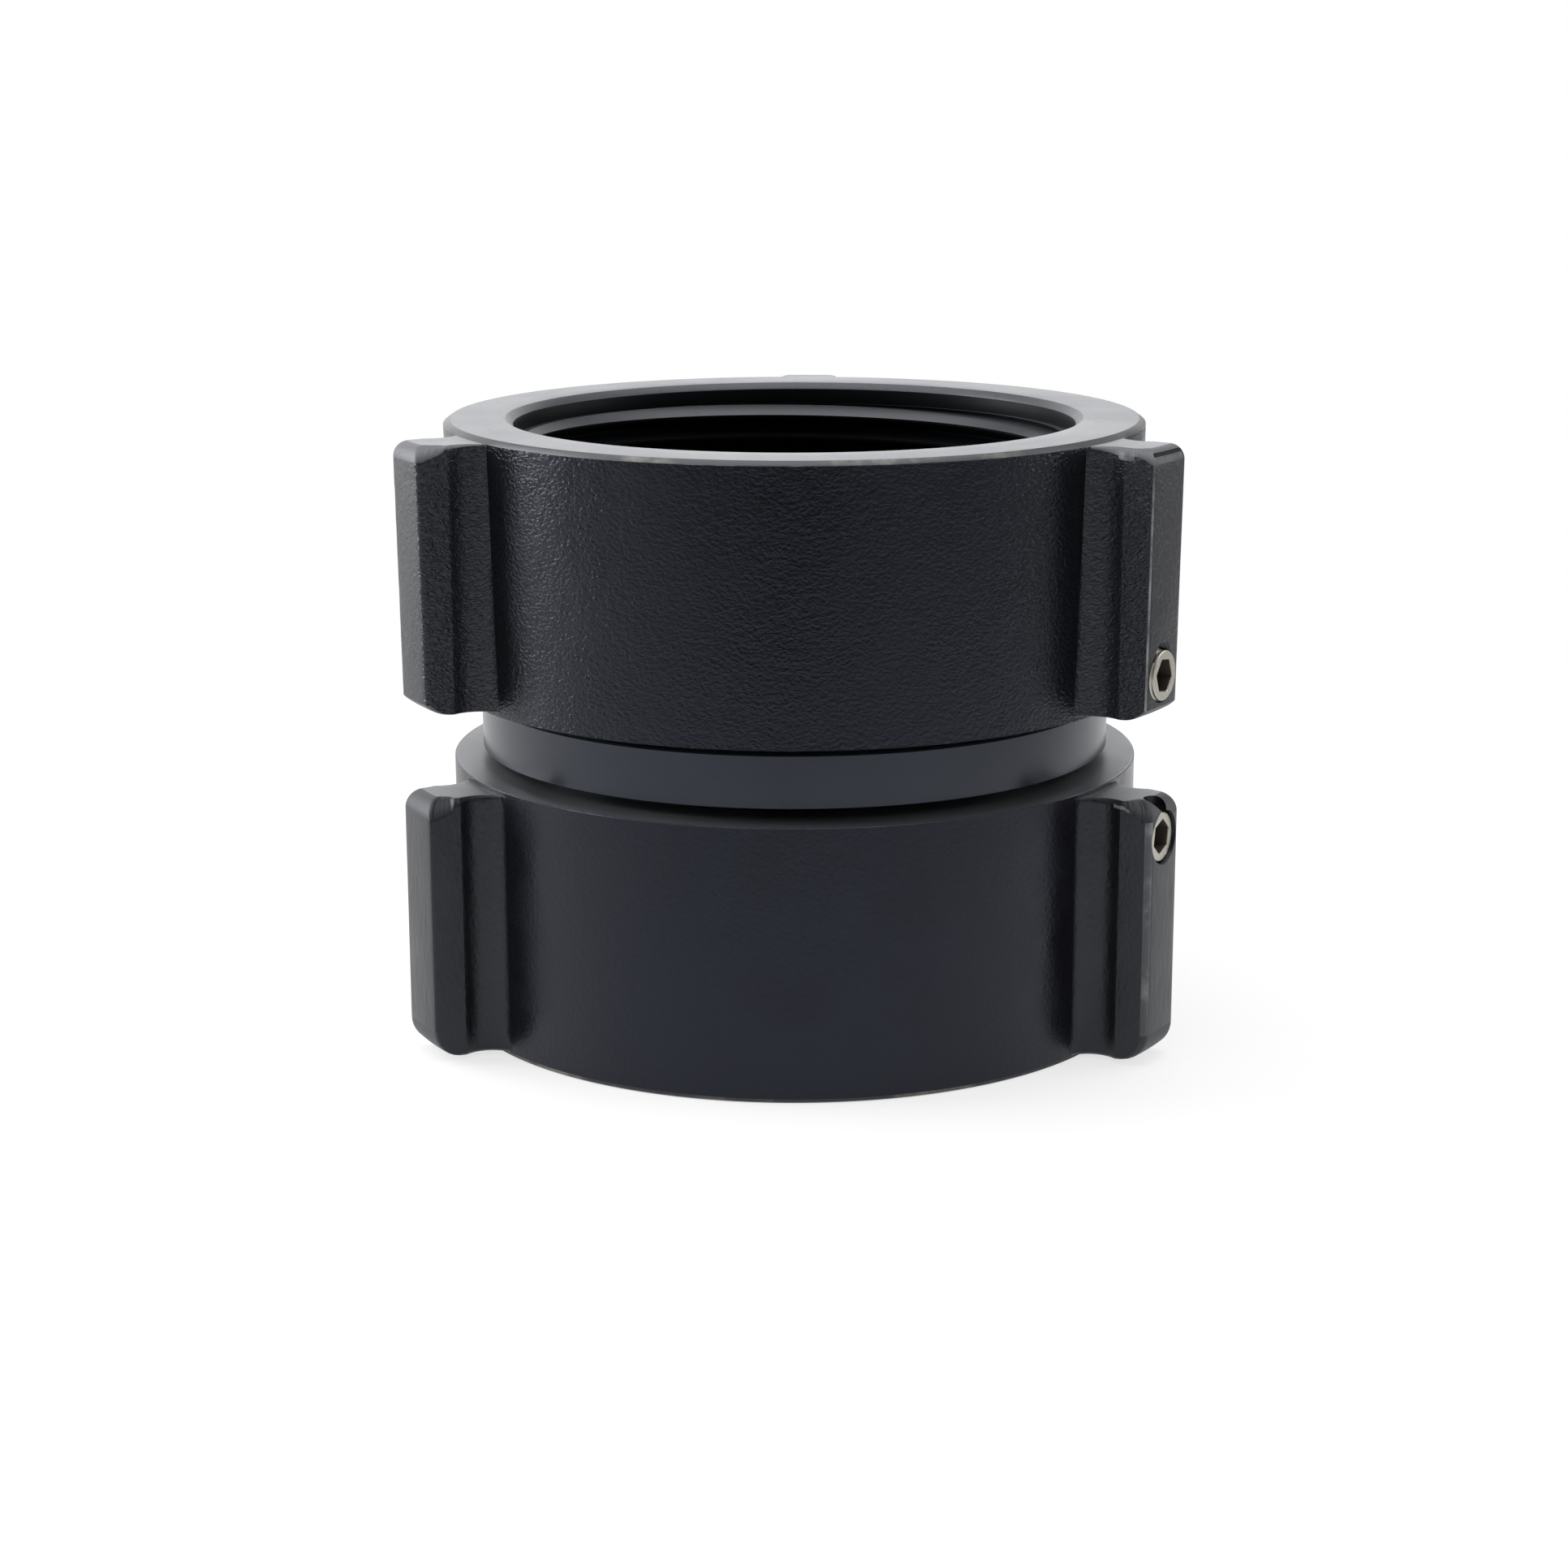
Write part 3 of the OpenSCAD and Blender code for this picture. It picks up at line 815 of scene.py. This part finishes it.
def raceGroove(centre, side):
    # radius and height along half a ball race, in the ring where side is 1, in the sleeve at -1
    reach = ballRow["diameter"] / 2 + ballRow["clear"]
    bow = math.asin(ballRow["lip"] / reach)
    return [(ballRow["radius"] + side * reach * math.cos(a), centre + reach * math.sin(a))
            for a in np.linspace(-math.pi / 2 + bow, math.pi / 2 - bow, ballRow["raceSteps"])]


def makeSleeve():
    low, high = nodeSpan("sleeve_body")
    half, s, c = sleeve["shoulderHeight"] / 2, sleeve["bevel"], sleeve["corner"]
    r, out, bore = sleeve["radius"], sleeve["shoulder"], sleeve["bore"]
    race = ballHeight["upper"]
    outline = [(bore, low + s), (bore + s, low), (r - s, low), (r, low + s)]
    outline += raceGroove(-race, -1) + [(r, -half - c), (r + c, -half)]
    outline += [(out - s, -half), (out, -half + s), (out, half - s), (out - s, half)]
    outline += [(r + c, half), (r, half + c)] + raceGroove(race, -1)
    outline += [(r, high - s), (r - s, high), (bore + s, high), (bore, high - s), (bore, low + s)]
    thing = revolve("turnedSleeve", outline, sleeve["steps"])
    smoothBelow(thing, sleeve["crease"])
    return thing


def makeGasket(name, node):
    low, high = nodeSpan(node)
    near, far, edge = gasket["hole"], gasket["radius"], gasket["edge"]
    corners = [np.array(c, dtype=float) for c in ((near, low), (far, low), (far, high), (near, high))]
    outline = []
    for i, corner in enumerate(corners):
        before, after = corners[i - 1] - corner, corners[(i + 1) % len(corners)] - corner
        a = corner + before / np.linalg.norm(before) * edge
        b = corner + after / np.linalg.norm(after) * edge
        for share in np.linspace(0, 1, gasket["edgeSteps"] + 1):
            outline.append((1 - share) ** 2 * a + 2 * share * (1 - share) * corner + share ** 2 * b)
    thing = revolve(name, outline + outline[:1], gasket["steps"])
    smoothBelow(thing, gasket["crease"])
    return thing


def treeFor(name, floats, wholes=()):
    # an empty geometry tree with these inputs and a finish; gives back the tree and what they hold
    tree = bpy.data.node_groups.new(name, "GeometryNodeTree")
    tree.interface.new_socket("Geometry", in_out="OUTPUT", socket_type="NodeSocketGeometry")
    for labels, kind in ((wholes, "Int"), (floats, "Float"), (("Finish",), "Material")):
        for label in labels:
            tree.interface.new_socket(label, in_out="INPUT", socket_type="NodeSocket" + kind)
    return tree, tree.nodes.new("NodeGroupInput").outputs


def endTree(tree, shape, given):
    real = addNode(tree, "GeometryNodeRealizeInstances", {0: shape})
    finish = addNode(tree, "GeometryNodeSetMaterial", {"Geometry": real, "Material": given["Finish"]})
    addNode(tree, "NodeGroupOutput", {"Geometry": finish})
    return tree


def bakeTree(name, tree, values):
    # runs the tree once and keeps its result as a plain mesh
    thing = newObject(name, bpy.data.meshes.new(name))
    maker = thing.modifiers.new("maker", "NODES")
    maker.node_group = tree
    for item in tree.interface.items_tree:
        if item.in_out == "INPUT" and item.name in values:
            maker[item.identifier] = values[item.name]
    keepResult(thing, maker)
    return thing


def ballTree():
    tree, given = treeFor("ballRow", ("Row Radius", "Ball Radius", "Height", "Start"), ("Count",))
    row = addNode(tree, "GeometryNodeMeshCircle", {
        "Vertices": given["Count"], "Radius": given["Row Radius"]})
    lift = addNode(tree, "ShaderNodeCombineXYZ", {"Z": given["Height"]})
    spin = addNode(tree, "ShaderNodeCombineXYZ", {"Z": given["Start"]})
    placed = addNode(tree, "GeometryNodeTransform", {"Geometry": row, "Translation": lift, "Rotation": spin})
    ball = addNode(tree, "GeometryNodeMeshUVSphere", {
        "Segments": ballRow["steps"], "Rings": ballRow["steps"] // 2, "Radius": given["Ball Radius"]})
    smooth = addNode(tree, "GeometryNodeSetShadeSmooth", {"Geometry": ball})
    spread = addNode(tree, "GeometryNodeInstanceOnPoints", {"Points": placed, "Instance": smooth})
    return endTree(tree, spread, given)


def screwTree():
    # the thread of a set screw: a spiral along Z with a small square drawn along it, on its corner
    tree, given = treeFor("screwThread", ("Radius", "Depth", "Pitch", "Turns", "Start"))
    rise = addNode(tree, "ShaderNodeMath", {0: given["Pitch"], 1: given["Turns"]}, operation="MULTIPLY")
    coil = addNode(tree, "GeometryNodeCurveSpiral", {
        "Resolution": plug["threadSteps"], "Rotations": given["Turns"], "Start Radius": given["Radius"],
        "End Radius": given["Radius"], "Height": rise, "Reverse": False})
    ridge = addNode(tree, "GeometryNodeCurvePrimitiveCircle", {"Resolution": 4, "Radius": given["Depth"]},
                    mode="RADIUS")
    solid = addNode(tree, "GeometryNodeCurveToMesh", {
        "Curve": coil, "Profile Curve": ridge, "Fill Caps": True})
    lift = addNode(tree, "ShaderNodeCombineXYZ", {"Z": given["Start"]})
    placed = addNode(tree, "GeometryNodeTransform", {"Geometry": solid, "Translation": lift})
    return endTree(tree, placed, given)


def makePlug(name, kind, z, threads, finish, dark):
    # set screw along Z with its inner end at 0, then laid along the lug
    middle, spin = math.radians(kind["turn"]), math.radians(kind["plug"]["spin"])
    length = plugFace(kind, z) + kind["plug"]["proud"] - plug["inner"]
    angles = [2 * math.pi * i / plug["steps"] for i in range(plug["steps"] + 1)]

    def circle(r, h):
        return [(r * math.cos(a), r * math.sin(a), h) for a in angles]

    def hexagon(scale, h):
        points = []
        for a in angles:
            inSide = (a - spin) % (math.pi / 3) - math.pi / 6
            r = scale * plug["flats"] / 2 / math.cos(inSide)
            points.append((r * math.cos(a), r * math.sin(a), h))
        return points

    tip, taper = plug["tip"]
    loops = [circle(0, 0), circle(tip, 0), circle(plug["minor"], taper)]
    loops += [circle(r, length - depth) for r, depth in plug["rim"]]
    outside = len(loops)
    loops += [hexagon(scale, length - depth) for scale, depth in plug["hex"]]
    loops += [circle(0, length - plug["drill"])]
    shell = Shell()
    shell.patch(np.array(loops).transpose(1, 0, 2), lambda i, j: 1 if j > outside else 0)
    body = newObject(name, meshFrom(name, shell.points, shell.faces, shell.slots))
    body.data.materials.append(finish)
    body.data.materials.append(dark)
    ridge = bakeTree(name + "Thread", threads, {
        "Radius": (plug["minor"] + plug["sunk"]) * mm, "Depth": (plug["major"] - plug["minor"]) * mm,
        "Pitch": plug["pitch"] * mm, "Turns": (length - sum(plug["bare"])) / plug["pitch"],
        "Start": plug["bare"][0] * mm, "Finish": finish})
    place = Matrix.Translation((plug["inner"] * mm, kind["plug"]["aside"] * mm, z * mm))
    lay = Matrix.Rotation(middle, 4, "Z") @ place @ Matrix.Rotation(math.pi / 2, 4, "Y")
    for thing in (body, ridge):
        thing.data.transform(lay)
    smoothBelow(body, plug["crease"])
    smoothBelow(ridge, plug["threadCrease"])
    return body, ridge


makeCamera()
makeStudio()
print("camera and studio ready")

# upper ring: fine pebbles that break up every highlight, coarser folds on the flanks of its lugs, painted a
# lighter grey for the brighter reflection they catch, and low, faint dents on their faces
cast = castAnodised("pebbledAnodisedCasting", {
    "base": "#0b0c0e", "pale": "#141518", "sheen": blueSheen, "grain": 0.6, "stretch": 1.4, "twist": 0.5,
    "depth": 0.13, "mottle": 16, "roughness": 0.3, "drift": 0.08})
litWrinkled = castAnodised("wrinkledAnodisedCasting", {
    "base": "#1b1c1f", "pale": "#232429", "grain": 0.85, "stretch": 1.6, "twist": 1.2, "depth": 0.24,
    "mottle": 16, "roughness": 0.34})
rumpled = castAnodised("rumpledAnodisedFace", {
    "base": "#0c0d0f", "pale": "#121316", "grain": 0.9, "stretch": 1.1, "twist": 0.9, "depth": 0.08,
    "mottle": 12})
# lower ring: satin with slow clouds, and faint lines drawn along its lugs
streaked = castAnodised("streakedAnodisedFace", {
    "base": "#111215", "pale": "#17181c", "grain": 0.9, "stretch": 0.3, "twist": 0.5, "depth": 0.05,
    "mottle": 10})
satin = castAnodised("satinAnodisedExtrusion", {
    "base": "#08080b", "pale": "#15151a", "sheen": blueSheen, "grain": 0.6, "stretch": 1.0, "twist": 0.0,
    "depth": 0.04, "mottle": 13, "roughness": 0.31, "drift": 0.11})
# painted light: a lighter, greyer copy of the satin, for the brighter reflection the lower lugs' flanks catch
drawn = castAnodised("drawnAnodisedExtrusion", {
    "base": "#0f1013", "pale": "#18191c", "grain": 0.6, "stretch": 0.7, "twist": 0.3, "depth": 0.06,
    "fade": 0.7, "mottle": 5})
# machined ends: pale grey and nearly matt, with tiny pits; where a lug's end rounds over, a darker, duller
# copy paints in shade, and on the lower ring both are darker again as painted shadow of the upper ring
machined = turnedAnodised("machinedAnodisedFace", {
    "base": "#6a6c70", "metallic": 0.6, "roughness": 0.44, "pits": 0.7})
shadowedMachined = turnedAnodised("machinedAnodisedBarFace", {
    "base": "#64666a", "metallic": 0.6, "roughness": 0.44, "pits": 0.5})
shadowedRounded = turnedAnodised("machinedAnodisedBarEnd", {
    "base": "#36383c", "metallic": 0.4, "roughness": 0.52, "pits": 0.5})
shadedRounded = turnedAnodised("machinedAnodisedLugEnd", {
    "base": "#505256", "metallic": 0.4, "roughness": 0.52, "pits": 0.7})
# painted light and shade: the mouth's bevel and first thread get a mid grey copy of the turned finish for the
# light they catch, and the bore a near black copy that barely reflects, for the shade inside it
litLedge = turnedAnodised("machinedAnodisedMouth", {
    "base": "#34363b", "metallic": 0.5, "roughness": 0.42, "pits": 0.7})
bore = turnedAnodised("machinedAnodisedBore", {
    "base": "#08090b", "roughness": 0.4, "sheen": (0.6, 0.63, 0.7, 1), "specular": 0.08})
# handling has rubbed the rim and the plugged lug's corner towards bare metal
wornRim = turnedAnodised("wornAnodisedBevel", {
    "base": "#3a3b3e", "bare": "#807e77", "metallic": 0.6, "roughness": 0.4, "wear": 0.7})
wornEdge = turnedAnodised("rubbedAnodisedEdge", {
    "base": "#4a4b4f", "metallic": 0.2, "roughness": 0.45, "wear": 1.0})
# glossier and bluer than the rings, so that the shoulder mirrors a clean gradient
shoulderFinish = turnedAnodised("turnedAnodisedSleeve", {
    "base": "#10131b", "roughness": 0.24, "sheen": (0.78, 0.85, 1.0, 1), "specular": 0.62})
# warm, worn nickel plate on the screws, and brown, matt oil over their blackened sockets
screwSteel = mottled("nickelPlatedSteel", {
    "base": "#b5b3a8", "metallic": 1.0, "mottle": 1.111, "roughness": (0.28, 0.48)})
socketDark = mottled("oiledSocket", {
    "base": "#3e3733", "specular": 0.2, "mottle": 1.4286, "roughness": (0.65, 0.85)})
# polished balls, bright enough to mirror their race
ballSteel = mottled("polishedBearingSteel", {
    "base": "#c8cacd", "metallic": 1.0, "mottle": 1.111, "roughness": (0.04, 0.24)})
# moulded nitrile rubber: matt, with a faint bloom
rubber = mottled("mouldedNitrileRubber", {
    "base": "#131314", "mottle": 2.5, "detail": 4.0, "roughness": (0.6, 0.8), "bump": 0.02})
print("finishes mixed")

# in the order of the slots: side, turned, bore (painted shade), rim, lug, edge, face, round (painted shade),
# ledge (painted light)
finishes = {
    "upper": (cast, machined, bore, wornRim, litWrinkled, wornEdge, rumpled, shadedRounded, litLedge),
    "lower": (satin, shadowedMachined, bore, wornRim, drawn, wornEdge, streaked, shadowedRounded, litLedge),
}
for key, kind in swivels.items():
    thing = swivelRing(key + "Swivel", key + "_ring", kind, finishes[key])
    roughenSide(thing, kind["lumps"])
    cutPlugHole(thing, kind, plugPlace(key))
    smoothBelow(thing, ring["crease"])
    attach(thing, key + "_swivel")
    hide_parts(key + "_ring")
    print(thing.name, len(thing.data.polygons), "faces")

sleeveBody = makeSleeve()
sleeveBody.data.materials.append(shoulderFinish)
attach(sleeveBody, "sleeve")
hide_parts("sleeve_body")

ballMaker = ballTree()
threadMaker = screwTree()
for key in ("upper", "lower"):
    seal = makeGasket(key + "FlatGasket", key + "_gasket")
    seal.data.materials.append(rubber)
    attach(seal, key + "_swivel")
    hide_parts(key + "_gasket")
    # half a ball aside, so that the plug is between two balls
    row = bakeTree(key + "BallRow", ballMaker, {
        "Count": ballRow["count"], "Row Radius": ballRow["radius"] * mm,
        "Ball Radius": ballRow["diameter"] / 2 * mm, "Height": ballHeight[key] * mm,
        "Start": math.radians(swivels[key]["turn"]) + math.pi / ballRow["count"], "Finish": ballSteel})
    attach(row, key + "_ball_row")
    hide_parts(key + "_balls")
    parts = makePlug(key + "RacePlug", swivels[key], plugPlace(key), threadMaker, screwSteel, socketDark)
    for part in parts:
        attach(part, key + "_swivel")
        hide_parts(key + "_plug")
print("sleeve, gaskets, balls and plugs made")
